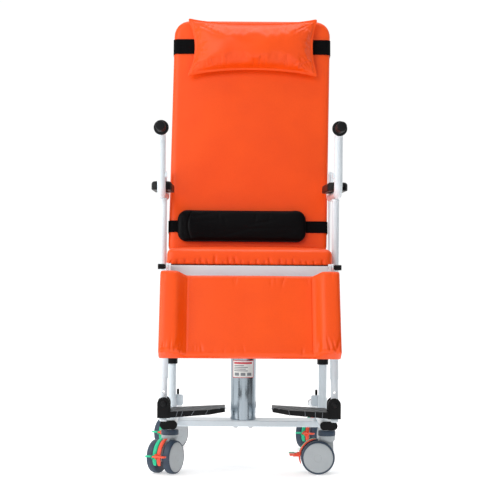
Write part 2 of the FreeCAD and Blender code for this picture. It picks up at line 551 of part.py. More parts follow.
os.makedirs("parts", exist_ok=True)
make_base()
make_pump()
for end_name, stem_y in (("front", STEM_FRONT), ("rear", STEM_REAR)):
    for side_name, stem_x in (("left", -STEM_X), ("right", STEM_X)):
        corner_name = end_name + "_" + side_name
        make_caster(corner_name, stem_x, stem_y, HEADINGS[corner_name])
make_seat()
make_footrest()
make_leg_rest()
make_backrest()
make_spring("back", BACK_SPRING[0], BACK_SPRING[1], 165.0, 12.0)
make_spring("leg", LEG_SPRING[0], LEG_SPRING[1], 200.0, 110.0)
make_arm()
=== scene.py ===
"""The looks of a hydraulic transfer chair that lies flat as a stretcher trolley.

Metres. +Z is up, the chair faces -Y and +X is to the right as seen from the front.
"""
import math
import random

import bmesh
import bpy
import numpy as np
from mathutils import Matrix, Vector, noise


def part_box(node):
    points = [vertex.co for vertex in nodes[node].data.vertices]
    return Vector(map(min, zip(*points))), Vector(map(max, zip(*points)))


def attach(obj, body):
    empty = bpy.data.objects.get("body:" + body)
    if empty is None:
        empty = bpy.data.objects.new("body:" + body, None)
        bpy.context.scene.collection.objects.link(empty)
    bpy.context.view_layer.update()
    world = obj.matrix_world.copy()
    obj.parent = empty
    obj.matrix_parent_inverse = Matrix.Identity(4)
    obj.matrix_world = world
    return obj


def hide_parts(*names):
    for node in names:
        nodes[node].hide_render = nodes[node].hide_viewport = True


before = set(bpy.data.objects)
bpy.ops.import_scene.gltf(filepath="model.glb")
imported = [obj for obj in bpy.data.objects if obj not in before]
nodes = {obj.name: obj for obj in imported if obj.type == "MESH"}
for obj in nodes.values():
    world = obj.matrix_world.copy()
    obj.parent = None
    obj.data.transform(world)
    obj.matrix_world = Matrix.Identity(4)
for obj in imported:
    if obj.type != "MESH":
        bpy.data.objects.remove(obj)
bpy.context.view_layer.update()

# ---- Camera: a long lens well back, at the height of the seat, with a very slight roll.
EYE_X, EYE_BACK, EYE_HIGH = -0.080, 5.14, 0.684
LENS, SENSOR = 119.8, 36.0
ROLL = 0.4
SHIFT_X, SHIFT_Y = 0.0480, -0.0065


def spin(degrees, axis):
    """A turn about one axis."""
    return Matrix.Rotation(math.radians(degrees), 4, axis)


camera_data = bpy.data.cameras.new("studio_camera")
camera_data.lens, camera_data.sensor_width = LENS, SENSOR
camera_data.shift_x, camera_data.shift_y = SHIFT_X, SHIFT_Y
camera = bpy.data.objects.new("studio_camera", camera_data)
bpy.context.collection.objects.link(camera)
camera.matrix_world = (Matrix.Translation((EYE_X, -EYE_BACK, EYE_HIGH))
                       @ spin(90, "X") @ spin(ROLL, "Z"))
bpy.context.scene.camera = camera
bpy.context.scene.view_settings.view_transform = "Standard"


# ---- Studio: a pale seamless floor, a white room and four soft lamps.
# A dark flag on the right, which the camera can't see, and a soft box close on the left give
# the edges and folds their shape.
def linear(code):
    """An sRGB hex colour as linear numbers."""
    parts = [int(code[i:i + 2], 16) / 255 for i in (1, 3, 5)]
    return [c / 12.92 if c <= 0.04045 else ((c + 0.055) / 1.055) ** 2.4 for c in parts] + [1.0]


def add(tree, kind, inputs=None, **settings):
    """Adds one node with its settings. An input is a value, or the socket that it is linked to."""
    made = tree.nodes.new(kind)
    for key, value in settings.items():
        setattr(made, key, value)
    for key, value in (inputs or {}).items():
        if isinstance(value, bpy.types.NodeSocket):
            tree.links.new(value, made.inputs[key])
        else:
            made.inputs[key].default_value = value
    return made


def new_material(name):
    """An empty node material and its tree."""
    material = bpy.data.materials.new(name)
    material.use_nodes = True
    material.node_tree.nodes.clear()
    return material, material.node_tree


def new_piece(name, points, faces):
    """A linked object with a new mesh of these points and faces."""
    mesh = bpy.data.meshes.new(name)
    mesh.from_pydata(points, [], faces)
    thing = bpy.data.objects.new(name, mesh)
    bpy.context.collection.objects.link(thing)
    return thing


def plane(name, corners):
    """A flat sheet of the studio, which is no part of the model."""
    sheet = new_piece(name, corners, [(0, 1, 2, 3)])
    return sheet


ROOM_DIM, ROOM_BRIGHT = 0.44, 1.02    # behind the camera, and in front of it
world = bpy.data.worlds.new("white_room")
world.use_nodes = True
bpy.context.scene.world = world
sky = world.node_tree
sky.nodes.clear()
where = add(sky, "ShaderNodeTexCoord")
split = add(sky, "ShaderNodeSeparateXYZ", {0: where.outputs["Generated"]})
depth = add(sky, "ShaderNodeMapRange", {0: split.outputs["Y"], 1: -0.55, 2: 0.45,
                                        3: ROOM_DIM, 4: ROOM_BRIGHT})
backdrop = add(sky, "ShaderNodeBackground", {"Color": linear("#FFFFFF"),
                                             "Strength": depth.outputs[0]})
add(sky, "ShaderNodeOutputWorld", {0: backdrop.outputs[0]})

FLOOR_HALF = 30
floor = plane("floor", [(FLOOR_HALF * x, FLOOR_HALF * y, 0)
                        for x, y in ((-1, -1), (1, -1), (1, 1), (-1, 1))])
paper, tree = new_material("matt white seamless paper")
matt = add(tree, "ShaderNodeBsdfDiffuse", {"Color": linear("#F7F7F7")})
glow = add(tree, "ShaderNodeEmission", {"Color": linear("#FFFFFF"), "Strength": 0.42})
both = add(tree, "ShaderNodeAddShader", {0: matt.outputs[0], 1: glow.outputs[0]})
add(tree, "ShaderNodeOutputMaterial", {0: both.outputs[0]})
floor.data.materials.append(paper)

flag_cloth, tree = new_material("black flag cloth")
cloth_face = add(tree, "ShaderNodeBsdfDiffuse", {"Color": linear("#15161A")})
add(tree, "ShaderNodeOutputMaterial", {0: cloth_face.outputs[0]})
FLAG_X, FLAG_NEAR, FLAG_FAR, FLAG_LOW, FLAG_HIGH = 1.7, -2.4, 0.1, 0.02, 1.6
flag = plane("flag_right", [(FLAG_X, FLAG_NEAR, FLAG_LOW), (FLAG_X, FLAG_FAR, FLAG_LOW),
                            (FLAG_X, FLAG_FAR, FLAG_HIGH), (FLAG_X, FLAG_NEAR, FLAG_HIGH)])
flag.data.materials.append(flag_cloth)
flag.visible_camera = False

LAMPS = {                     # place, aim, size and watts
    "key": ((-1.9, -3.2, 3.0), (0, 0, 0.75), 1.8, 48),
    "fill": ((2.3, -3.0, 1.9), (0, 0, 0.7), 2.0, 9),
    "side": ((-1.9, -0.9, 1.3), (0, 0, 1.0), 1.1, 13),
    "top": ((0.0, 0.3, 3.6), (0, 0.1, 0.6), 2.2, 32),
}
for name, (place, aim, size, watts) in LAMPS.items():
    lamp = bpy.data.lights.new(name, "AREA")
    lamp.shape, lamp.size, lamp.energy = "SQUARE", size, watts
    holder = bpy.data.objects.new(name, lamp)
    bpy.context.collection.objects.link(holder)
    look = (Vector(aim) - Vector(place)).to_track_quat("-Z", "Y")
    holder.matrix_world = Matrix.Translation(place) @ look.to_matrix().to_4x4()


# ---- White frame: base rails and crossbar, posts, seat, back, leg and arm tubes.
# Steel tube, welded, then powder coated in satin white, which leaves a fine orange peel.
def surface(name, colour, rough, metal=0.0, bump=None, tone=None, rough_spread=0.0, **sockets):
    """A Principled material. bump is (size, depth) and tone (second colour, size), all in mm."""
    material, tree = new_material(name)
    at = add(tree, "ShaderNodeTexCoord").outputs["Object"]
    shader = add(tree, "ShaderNodeBsdfPrincipled", {
        "Base Color": linear(colour), "Roughness": rough, "Metallic": metal, **sockets})
    if tone:
        other, size = tone
        cloud = add(tree, "ShaderNodeTexNoise", {"Vector": at, "Scale": 1000 / size,
                                                 "Detail": 4.0})
        mixed = add(tree, "ShaderNodeMix", {0: cloud.outputs[0], 6: linear(colour),
                                            7: linear(other)}, data_type="RGBA")
        tree.links.new(mixed.outputs[2], shader.inputs["Base Color"])
    if rough_spread:
        wear = add(tree, "ShaderNodeTexNoise", {"Vector": at, "Scale": 60.0, "Detail": 5.0})
        spread = add(tree, "ShaderNodeMapRange", {0: wear.outputs[0], 3: rough - rough_spread,
                                                  4: rough + rough_spread})
        tree.links.new(spread.outputs[0], shader.inputs["Roughness"])
    if bump:
        size, depth = bump
        grain = add(tree, "ShaderNodeTexNoise", {"Vector": at, "Scale": 1000 / size,
                                                 "Detail": 2.0})
        relief = add(tree, "ShaderNodeBump", {"Height": grain.outputs[0], "Distance": depth / 1000,
                                              "Strength": 0.6})
        tree.links.new(relief.outputs[0], shader.inputs["Normal"])
    add(tree, "ShaderNodeOutputMaterial", {0: shader.outputs[0]})
    return material


def clothe(thing, material):
    """Gives every face of a piece one material."""
    thing.data.materials.clear()
    thing.data.materials.append(material)
    for polygon in thing.data.polygons:
        polygon.material_index = 0


# Satin powder coat: dielectric, soft highlights, faint peel of 2 mm.
powder_coat = surface("satin white powder coat", "#E2EAEF", 0.36, bump=(2.0, 0.05),
                      tone=("#D2DBE1", 90.0), rough_spread=0.05, **{"Coat Weight": 0.15})
WHITE_NODES = ["base_rails", "base_crossbar", "guide_posts", "post_sockets", "seat_frame",
               "seat_front_panel", "arm_front_posts", "footrest_hangers", "footrest_tube_left",
               "footrest_tube_right", "leg_frame", "back_frame", "push_bar", "arm_tube_left",
               "arm_tube_right"]
for name in WHITE_NODES:
    clothe(nodes[name], powder_coat)

# ---- Black mouldings: rail caps, bushings, gland, hinge pin caps, knobs and pump housing.
# Injection-moulded polyamide with a fine spark-eroded grain, so it is dark but never shiny.
black_nylon = surface("moulded black polyamide", "#040506", 0.42, bump=(1.6, 0.06),
                      tone=("#0D0E11", 25.0), rough_spread=0.08, **{"Specular IOR Level": 0.16})
for name in ["rail_end_caps", "sleeve_bushings", "column_gland", "leg_hinge_pins",
             "clamp_knob_left", "clamp_knob_right"]:
    clothe(nodes[name], black_nylon)

# ---- Bright steel: ram, ram head, bolts, foot pedals and gas spring rods, zinc plated.
zinc = surface("bright zinc plated steel", "#B9BCC0", 0.28, metal=1.0, bump=(1.2, 0.03),
               tone=("#A5A9AE", 14.0), rough_spread=0.08)
for name in ["ram", "ram_head", "column_bolts", "pump_pedal", "release_pedal", "leg_spring_rod",
             "back_spring_rod"]:
    clothe(nodes[name], zinc)
spring_paint = surface("black gloss stoving enamel", "#101114", 0.22, rough_spread=0.06,
                       tone=("#17181C", 30.0), **{"Coat Weight": 0.5})
for name in ["leg_spring_cylinder", "back_spring_cylinder"]:
    clothe(nodes[name], spring_paint)

# ---- Seat board: phenolic faced birch plywood under the seat, screwed to the tubes.
faced_ply = surface("phenolic faced birch plywood", "#3A2A20", 0.5, bump=(3.0, 0.10),
                    tone=("#2A1E17", 18.0), rough_spread=0.1)
clothe(nodes["seat_board"], faced_ply)

# ---- Lift column: a drawn steel tube, polished and hard chromed, so it mirrors the room.
# Long faint polishing lines run up it, and between them it is nearly perfectly smooth.
chrome, tree = new_material("polished hard chrome")
at = add(tree, "ShaderNodeTexCoord").outputs["Object"]
drawn = add(tree, "ShaderNodeMapping", {"Vector": at, "Scale": (110.0, 110.0, 2.2)})
streak = add(tree, "ShaderNodeTexNoise", {"Vector": drawn.outputs[0], "Scale": 1.0, "Detail": 3.0})
relief = add(tree, "ShaderNodeBump", {"Height": streak.outputs[0], "Distance": 0.0009,
                                      "Strength": 0.35})
gloss = add(tree, "ShaderNodeMapRange", {0: streak.outputs[0], 3: 0.08, 4: 0.26})
shader = add(tree, "ShaderNodeBsdfPrincipled", {"Base Color": linear("#98A2AA"), "Metallic": 1.0,
                                                "Roughness": gloss.outputs[0],
                                                "Normal": relief.outputs[0]})
add(tree, "ShaderNodeOutputMaterial", {0: shader.outputs[0]})
clothe(nodes["column_cylinder"], chrome)

# ---- Rating label on the column: printed vinyl film with a red frame, a red heading bar and
# plain grey lines and boxes where a maker's words would be. It carries no lettering.
column_low, column_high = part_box("column_cylinder")
COLUMN_R, COLUMN_X = (column_high.x - column_low.x) / 2, (column_high.x + column_low.x) / 2
LABEL_LOW, LABEL_HIGH, LABEL_TURN = 0.266, 0.320, math.radians(106)
FILM = 0.0004


def wrapped(name, angle0, angle1, low, high, lift, material):
    """A patch of film that follows the column between two angles from its front line."""
    steps = max(2, round((angle1 - angle0) / math.radians(4)))
    points, faces = [], []
    for z in (low, high):
        for r in (COLUMN_R + lift - FILM, COLUMN_R + lift):
            for i in range(steps + 1):
                a = angle0 + (angle1 - angle0) * i / steps
                points.append((COLUMN_X + r * math.sin(a), -r * math.cos(a), z))
    row = steps + 1
    for i in range(steps):
        faces += [(row + i, row + i + 1, 3 * row + i + 1, 3 * row + i),
                  (i, 2 * row + i, 2 * row + i + 1, i + 1),
                  (i, i + 1, row + i + 1, row + i),
                  (2 * row + i, 3 * row + i, 3 * row + i + 1, 2 * row + i + 1)]
    faces += [(0, row, 3 * row, 2 * row),
              (steps, 2 * row + steps, 3 * row + steps, row + steps)]
    patch = new_piece(name, points, faces)
    solid_out(patch.data)
    clothe(patch, material)
    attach(patch, "base")


def solid_out(mesh, smooth=False, merge=0.0):
    """Turns every face of a closed mesh outwards."""
    shell = bmesh.new()
    shell.from_mesh(mesh)
    if merge:
        bmesh.ops.remove_doubles(shell, verts=shell.verts, dist=merge)
    bmesh.ops.recalc_face_normals(shell, faces=shell.faces)
    shell.to_mesh(mesh)
    shell.free()
    for polygon in mesh.polygons:
        polygon.use_smooth = smooth


white_film = surface("printed white vinyl film", "#F2F0EC", 0.35, tone=("#E6E4E0", 12.0))
red_ink = surface("red screen ink on vinyl", "#D7263A", 0.38, tone=("#C41F33", 9.0))
grey_ink = surface("grey screen ink on vinyl", "#8B8D92", 0.4, tone=("#7A7C80", 9.0))
half_turn = LABEL_TURN / 2
offset = math.radians(-2.0)
label_tall = LABEL_HIGH - LABEL_LOW
wrapped("label_film", offset - half_turn, offset + half_turn, LABEL_LOW, LABEL_HIGH, FILM,
        white_film)
border = math.radians(1.8)
border_tall = 0.0016
for part_name, a0, a1, z0, z1 in (
        ("left", -half_turn, -half_turn + border, 0.0, label_tall),
        ("right", half_turn - border, half_turn, 0.0, label_tall),
        ("top", -half_turn + border, half_turn - border, label_tall - border_tall, label_tall),
        ("bottom", -half_turn + border, half_turn - border, 0.0, border_tall),
        ("heading", -half_turn * 0.82, half_turn * 0.82, label_tall * 0.80, label_tall * 0.90)):
    wrapped("label_" + part_name, offset + a0, offset + a1, LABEL_LOW + z0, LABEL_LOW + z1,
            2 * FILM, red_ink)
LINES = ((0.68, 0.55), (0.58, 0.75), (0.48, 0.65), (0.38, 0.75))    # height and length, as shares
for line, (share_low, share_wide) in enumerate(LINES):
    wrapped(f"label_line_{line}", offset - half_turn * 0.8,
            offset + half_turn * (share_wide * 1.6 - 0.8), LABEL_LOW + label_tall * share_low,
            LABEL_LOW + label_tall * (share_low + 0.045), 2 * FILM, grey_ink)
for box_index, start in enumerate((-0.75, -0.2, 0.35)):
    wrapped(f"label_box_{box_index}", offset + half_turn * start,
            offset + half_turn * (start + 0.4), LABEL_LOW + label_tall * 0.12,
            LABEL_LOW + label_tall * 0.29, 2 * FILM, grey_ink)


# ---- Upholstery cloth: PVC coated knit in bright orange, embossed with a leather grain.
# The grain is about 1 mm; here its cells are 3 mm, as coarse as they need to be to show.
GRAIN_MM = 3.0


def leathercloth(name, colour, darker, rough, depth_mm, shine):
    """Coated cloth: embossed cells and pores over a soft drape, in two close tones."""
    material, tree = new_material(name)
    at = add(tree, "ShaderNodeTexCoord").outputs["Object"]
    cells = add(tree, "ShaderNodeTexVoronoi", {"Vector": at, "Scale": 1000 / GRAIN_MM},
                feature="SMOOTH_F1")
    pores = add(tree, "ShaderNodeTexNoise", {"Vector": at, "Scale": 2200 / GRAIN_MM,
                                             "Detail": 3.0})
    height = add(tree, "ShaderNodeMath", {0: cells.outputs["Distance"], 1: pores.outputs[0]})
    relief = add(tree, "ShaderNodeBump", {"Height": height.outputs[0], "Distance": depth_mm / 1000,
                                          "Strength": 0.5})
    drape = add(tree, "ShaderNodeTexNoise", {"Vector": at, "Scale": 14.0, "Detail": 3.0,
                                             "Roughness": 0.45})
    soft = add(tree, "ShaderNodeBump", {"Height": drape.outputs[0], "Distance": 0.002,
                                        "Strength": 0.30, "Normal": relief.outputs[0]})
    cloud = add(tree, "ShaderNodeTexNoise", {"Vector": at, "Scale": 9.0, "Detail": 5.0})
    in_cell = add(tree, "ShaderNodeMapRange", {0: cells.outputs["Distance"], 3: 0.0, 4: 0.35})
    both_tones = add(tree, "ShaderNodeMath", {0: cloud.outputs[0], 1: in_cell.outputs[0]})
    colours = add(tree, "ShaderNodeMix", {0: both_tones.outputs[0], 6: linear(colour),
                                          7: linear(darker)}, data_type="RGBA")
    gloss = add(tree, "ShaderNodeMapRange", {0: pores.outputs[0], 3: rough - 0.06,
                                             4: rough + 0.08})
    shader = add(tree, "ShaderNodeBsdfPrincipled", {
        "Base Color": colours.outputs[2], "Roughness": gloss.outputs[0], "Normal": soft.outputs[0],
        "Specular IOR Level": shine})
    add(tree, "ShaderNodeOutputMaterial", {0: shader.outputs[0]})
    return material


# Soft PVC: dielectric with a broad dull highlight, so folds catch a pale edge of light.
orange_cloth = leathercloth("orange PVC coated upholstery", "#FA5500", "#EC4900", 0.40, 0.22, 0.34)
black_cloth = leathercloth("black PVC coated upholstery", "#030306", "#020204", 0.42, 0.25, 0.10)


def rounded_outline(x0, x1, z0, z1, radii, inset, pitch):
    """Points round a rectangle, anticlockwise from its low left corner, moved inwards by inset.
    radii are low left, low right, high right, high left. Every inset gives as many points."""
    centres = [(x0, z0, 1, 1), (x1, z0, -1, 1), (x1, z1, -1, -1), (x0, z1, 1, -1)]
    starts = [math.pi, 1.5 * math.pi, 0.0, 0.5 * math.pi]
    points = []
    for corner in range(4):
        cx, cz, sx, sz = centres[corner]
        radius = radii[corner]
        turns = max(3, round(radius * math.pi / 2 / pitch))
        near, pull = max(radius - inset, 0.0), max(inset, radius)
        middle = (cx + sx * pull, cz + sz * pull)
        for i in range(turns + 1):
            a = starts[corner] + math.pi / 2 * i / turns
            points.append((middle[0] + near * math.cos(a), middle[1] + near * math.sin(a)))
        after, next_radius = centres[(corner + 1) % 4], radii[(corner + 1) % 4]
        run = math.hypot(after[0] - cx, after[1] - cz) - radius - next_radius
        steps = max(2, round(run / pitch))
        next_pull, next_near = max(inset, next_radius), max(next_radius - inset, 0.0)
        a = starts[(corner + 1) % 4]
        last = points[-1]
        goal = (after[0] + after[2] * next_pull + next_near * math.cos(a),
                after[1] + after[3] * next_pull + next_near * math.sin(a))
        for i in range(1, steps):
            t = i / steps
            points.append((last[0] + (goal[0] - last[0]) * t, last[1] + (goal[1] - last[1]) * t))
    return points


def skin(name, rings):
    """A closed smooth mesh through rings of points, with a pole at each end."""
    count = len(rings[0])
    points = [point for ring in rings for point in ring]
    faces = []
    for r in range(len(rings) - 1):
        for i in range(count):
            a, b = r * count + i, r * count + (i + 1) % count
            faces.append((a, b, b + count, a + count))
    for r in (0, len(rings) - 1):
        pole = len(points)
        points.append(tuple(np.mean(rings[r], axis=0)))
        faces += [(pole, r * count + i, r * count + (i + 1) % count) for i in range(count)]
    thing = new_piece(name, [tuple(p) for p in points], faces)
    solid_out(thing.data, smooth=True, merge=1e-5)
    return thing


def cushion(name, bounds, radii, rear, face, edge, crown, pitch=0.008):
    """A flat pad in the x-z plane: its back at y = rear, its front at y = -face, with rounded
    front edges and a crown that rises towards the middle."""
    x0, x1, z0, z1 = bounds
    lip, walls = 0.0015, 4
    levels = [(inset, rear) for inset in (0.02, 0.006, lip)]
    levels += [(0.0, rear - lip + (-face + edge - rear + lip) * i / walls)
               for i in range(walls + 1)]
    for turn in (25, 50, 70, 90):
        a = math.radians(turn)
        levels.append((edge * (1 - math.cos(a)), -face + edge * (1 - math.sin(a))))
    deepest = min(x1 - x0, z1 - z0) / 2 - 0.004
    inset = edge
    while inset < deepest:
        inset = min(deepest, inset + max(0.010, 0.2 * inset))
        levels.append((inset, -face - crown * (1 - math.exp(-(inset - edge) / 0.05))))
    return skin(name, [[(x, y, z) for x, z in rounded_outline(x0, x1, z0, z1, radii, inset, pitch)]
                       for inset, y in levels])


def points_of(thing):
    flat = np.empty(len(thing.data.vertices) * 3, np.float32)
    thing.data.vertices.foreach_get("co", flat)
    return flat.reshape(-1, 3).astype(float)


def set_points(thing, places):
    thing.data.vertices.foreach_set("co", np.asarray(places, np.float32).ravel())
    thing.data.update()


def plain_mesh(thing):
    """Applies every modifier on a piece and leaves a plain mesh."""
    bpy.context.view_layer.update()
    graph = bpy.context.evaluated_depsgraph_get()
    mesh = bpy.data.meshes.new_from_object(thing.evaluated_get(graph))
    thing.modifiers.clear()
    thing.data = mesh
    for polygon in mesh.polygons:
        polygon.use_smooth = True


def refine(thing, voxel=None, relax=0, finer=True):
    """Remeshes a piece into even squares, relaxes it, and makes the squares half as wide."""
    if voxel:
        remesh = thing.modifiers.new("even_cloth", "REMESH")
        remesh.mode, remesh.voxel_size, remesh.use_smooth_shade = "VOXEL", voxel, True
    if relax:
        smooth = thing.modifiers.new("relax", "SMOOTH")
        smooth.factor, smooth.iterations = 0.5, relax
    if finer:
        halved = thing.modifiers.new("finer", "SUBSURF")
        halved.levels = halved.render_levels = 1
    plain_mesh(thing)


SIM_FRAMES, PRESSURE = 20, 4.0


def swell(thing, cap, held=None, pinned=(), mass=0.35, bending=0.6, shrink=0.0):
    """Stuffs a pad by cloth simulation, and moves no point further than cap. held(points) gives
    1 where it may swell and 0 where not; the pinned points stay put in the simulation."""
    before = points_of(thing)
    cloth = thing.modifiers.new("stuffing", "CLOTH")
    settings = cloth.settings
    settings.quality, settings.mass, settings.bending_stiffness = 5, mass, bending
    settings.use_pressure, settings.uniform_pressure_force = True, PRESSURE
    settings.shrink_min, settings.effector_weights.gravity = -shrink, 0
    cloth.collision_settings.use_collision = False
    if pinned:
        thing.vertex_groups.new(name="pinned").add(pinned, 1.0, "REPLACE")
        settings.vertex_group_mass = "pinned"
    for number in range(1, SIM_FRAMES + 1):
        bpy.context.scene.frame_set(number)
    plain_mesh(thing)
    bpy.context.scene.frame_set(1)
    moved = points_of(thing) - before
    far = np.linalg.norm(moved, axis=1, keepdims=True)
    moved *= cap * np.tanh(far / cap) / np.maximum(far, 1e-9)
    if held:
        moved *= held(before)[:, None]
    set_points(thing, before + moved)


def ramp(values, start, end):
    """0 before start, 1 after end, smooth between."""
    t = np.clip((values - start) / (end - start), 0, 1)
    return t * t * (3 - 2 * t)


# ---- Back cushion: foam on a board, 0.52 m wide and 0.78 m long, with rounded top corners.
# The cover is drawn round a 14 mm edge; it sits a little askew on its board, as sewn covers do.
BACK = Matrix.Translation((0, 0.235, 0.635)) @ spin(-8, "X")
BACK_X, BACK_ROUND, BACK_LONG, CREEP = 0.2585, (0.022, 0.022, 0.050, 0.050), 0.793, 0.0140


def askew(v):
    """How far the cover has crept to the right at a height up the back."""
    return CREEP * v / BACK_LONG


def folds(places, axis, across, chances, count, span, deep, wide, seed):
    """Small random pull lines: grooves that run along one axis, as (N,) depths in metres."""
    dice = random.Random(seed)
    depth = np.zeros(len(places))
    for _ in range(count):
        start = [dice.uniform(low, high) for low, high in chances]
        length, lean = dice.uniform(*span), dice.uniform(-0.25, 0.25)
        along = places[:, axis] - start[0]
        off = places[:, across] - start[1] - lean * along
        share = dice.uniform(0.4, 1.0) * np.exp(-(along / length) ** 2)
        depth += deep * share * np.exp(-(off / (wide * dice.uniform(0.7, 1.5))) ** 2)
    return depth


def slack(places, scale, shift):
    """Slow random swells over a cloth, between -1 and 1."""
    return np.array([noise.noise(Vector(place)) for place in places * scale + shift])


back_pad = cushion("back_cushion", (-BACK_X, BACK_X, 0.015, BACK_LONG), BACK_ROUND,
                   0.0088, 0.0345, 0.014, 0.0015, pitch=0.006)
refine(back_pad, voxel=0.006)
spots = points_of(back_pad)
front_face = ramp(-spots[:, 1], 0.020, 0.034)
swells = slack(spots[:, (0, 2, 1)], (7, 5, 0), (0, 0, 0.3))
spots[:, 1] += front_face * (0.0012 * swells + 0.0006)
spots[:, 0] += askew(spots[:, 2])
side_seam = np.exp(-((spots[:, 1] - 0.001) / 0.0012) ** 2) * (np.abs(spots[:, 0]) > 0.24)
spots[:, 0] -= np.sign(spots[:, 0]) * 0.0012 * side_seam
set_points(back_pad, spots)
back_pad.data.transform(BACK)
clothe(back_pad, orange_cloth)
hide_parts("back_pad")
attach(back_pad, "backrest")

# The board behind it is wrapped in the same cloth, and sits as far over as the cushion does.
board = cushion("back_board_wrapped", (-0.2570, 0.2570, 0.016, 0.7915), BACK_ROUND,
                0.0149, -0.0091, 0.001, 0.0, pitch=0.012)
spots = points_of(board)
spots[:, 0] += askew(spots[:, 2])
set_points(board, spots)
board.data.transform(BACK)
clothe(board, orange_cloth)
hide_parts("back_board")
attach(board, "backrest")

# ---- Seat cushion: foam 52 mm thick, its cover stapled under the board.
# Pulling the cover under leaves about twenty short gathers in the lower half of the front.
SEAT_LOW, SEAT_X, SEAT_FRONT = 0.62, 0.2485, -0.2570
seat_pad = cushion("seat_cushion", (-SEAT_X, SEAT_X, -0.253, 0.193), (0.018,) * 4,
                   0.0, 0.046, 0.016, 0.005)
seat_pad.data.transform(Matrix.Translation((0, 0, 0.6201)) @ spin(-90, "X"))
refine(seat_pad, voxel=0.005, finer=False)
swell(seat_pad, 0.002, held=lambda p: ramp(p[:, 2], 0.622, 0.640))
refine(seat_pad)
spots = points_of(seat_pad)
front = ramp(-spots[:, 1], 0.243, 0.251)
low_half = 1 - ramp(spots[:, 2], 0.636, 0.656)
dice = random.Random(14)
gathers = np.zeros(len(spots))
x = -0.235
while x < 0.236:
    tall = dice.uniform(0.012, 0.034)
    thin = dice.uniform(0.0022, 0.0042)
    fade = 1 - ramp(spots[:, 2], SEAT_LOW + tall * 0.5, SEAT_LOW + tall)
    line = x + dice.uniform(-0.15, 0.15) * (spots[:, 2] - SEAT_LOW)
    gathers += dice.uniform(0.6, 1.0) * fade * np.exp(-((spots[:, 0] - line) / thin) ** 2)
    x += dice.uniform(0.016, 0.030)
spots[:, 1] += front * (0.0052 * np.minimum(gathers, 1.3) - 0.0026 * low_half)
spots[:, 1] = np.maximum(spots[:, 1], SEAT_FRONT)
set_points(seat_pad, spots)
clothe(seat_pad, orange_cloth)
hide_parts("seat_pad")
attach(seat_pad, "seat")

# ---- Leg cushion: a flat calf pad between two bolsters, one cover, sewn along the foot of each.
# Each bolster rises 33 mm; its ends are folded in, which leaves short pull lines.
LEG = Matrix.Translation((0, -0.275, 0.614)) @ spin(-25, "X")
LEG_REAR, LEG_FLAT, LEG_ROUND, LEG_DEEP = 0.0068, -0.0235, 0.013, 0.0646
LEG_X, LEG_LOW, LEG_HIGH, LEG_UPRIGHT = 0.2630, -0.290, -0.034, LEG_DEEP - LEG_ROUND
edge_turns = [math.radians(t) for t in (15, 35, 55, 75, 90)]
rim = [(0.0, LEG_DEEP * (i / 6) - LEG_ROUND * (i / 6)) for i in range(6)] + [(0.0, LEG_UPRIGHT)]
rim += [(LEG_ROUND * (1 - math.cos(a)), LEG_DEEP - LEG_ROUND * (1 - math.sin(a)))
        for a in edge_turns]


def across_pad(low, high, count):
    """Places from one edge of the leg cushion to the other, each with its height on the rim."""
    inner = np.linspace(low + LEG_ROUND, high - LEG_ROUND, count)[1:-1]
    return [(low + inset, h) for inset, h in rim] + [(place, LEG_DEEP) for place in inner] \
        + [(high - inset, h) for inset, h in reversed(rim)]


def leg_top(x):
    """The front of the leg cushion across its width: a flat between two bolsters."""
    x = abs(x)
    slope = min(max((x - 0.184) / 0.030, 0), 1)
    slope = slope * slope * (3 - 2 * slope) * 0.6 + slope * 0.4
    top = LEG_FLAT - 0.0015 * max(0, 1 - (x / 0.17) ** 2) - slope * 0.0335
    crown = max(0, 1 - ((x - 0.238) / 0.026) ** 2)
    return top - 0.0012 * crown


def quilt(name, front, rear, wide):
    """A closed mesh of two equal grids of points, wide points across, joined at the edges."""
    count, tall = len(front), len(front) // wide
    faces = [(a, a + 1, a + 1 + wide, a + wide) for start in (0, count)
             for r in range(tall - 1) for a in range(start + r * wide, start + r * wide + wide - 1)]
    edge = list(range(wide)) + [r * wide + wide - 1 for r in range(1, tall)] \
        + [(tall - 1) * wide + c for c in range(wide - 2, -1, -1)] \
        + [r * wide for r in range(tall - 2, 0, -1)]
    faces += [(a, b, b + count, a + count) for a, b in zip(edge, edge[1:] + edge[:1])]
    return new_piece(name, front + rear, faces)


columns, rows = across_pad(-LEG_X, LEG_X, 130), across_pad(LEG_LOW, LEG_HIGH, 62)
front, rear = [], []
for z, hz in rows:
    for x, hx in columns:
        thick = LEG_REAR - leg_top(x)
        left = min(hx - LEG_DEEP + thick, hz - LEG_DEEP + thick)
        if hx < LEG_UPRIGHT or hz < LEG_UPRIGHT:
            left = min(hx / LEG_UPRIGHT, hz / LEG_UPRIGHT, 1.0) * (thick - LEG_ROUND)
        narrow = 0.0010 * (1 - (z + 0.16) / 0.13)
        front.append((x * (1 + narrow * 2), LEG_REAR - max(left, 0.0), z))
        rear.append((x * 0.999, LEG_REAR, z))
leg_pad = quilt("leg_cushion", front, rear, len(columns))
solid_out(leg_pad.data, smooth=True, merge=2e-5)
refine(leg_pad, voxel=0.004, relax=3)
spots = points_of(leg_pad)
on_front = ramp(-spots[:, 1], 0.012, 0.020)
foot = np.exp(-((np.abs(spots[:, 0]) - 0.1835) / 0.0022) ** 2)
spots[:, 1] += on_front * 0.0020 * foot
LEG_FOLDS = (    # chances up and across, count, span, depth, width and seed
    ([(-0.288, -0.262), (0.196, 0.258)], 9, (0.010, 0.024), 0.0030, 0.0028, 3),
    ([(-0.288, -0.262), (-0.258, -0.196)], 9, (0.010, 0.024), 0.0030, 0.0028, 5),
    ([(-0.060, -0.030), (-0.258, 0.258)], 16, (0.008, 0.018), 0.0018, 0.0030, 8),
    ([(-0.288, -0.268), (-0.18, 0.18)], 10, (0.008, 0.016), 0.0016, 0.0030, 9))
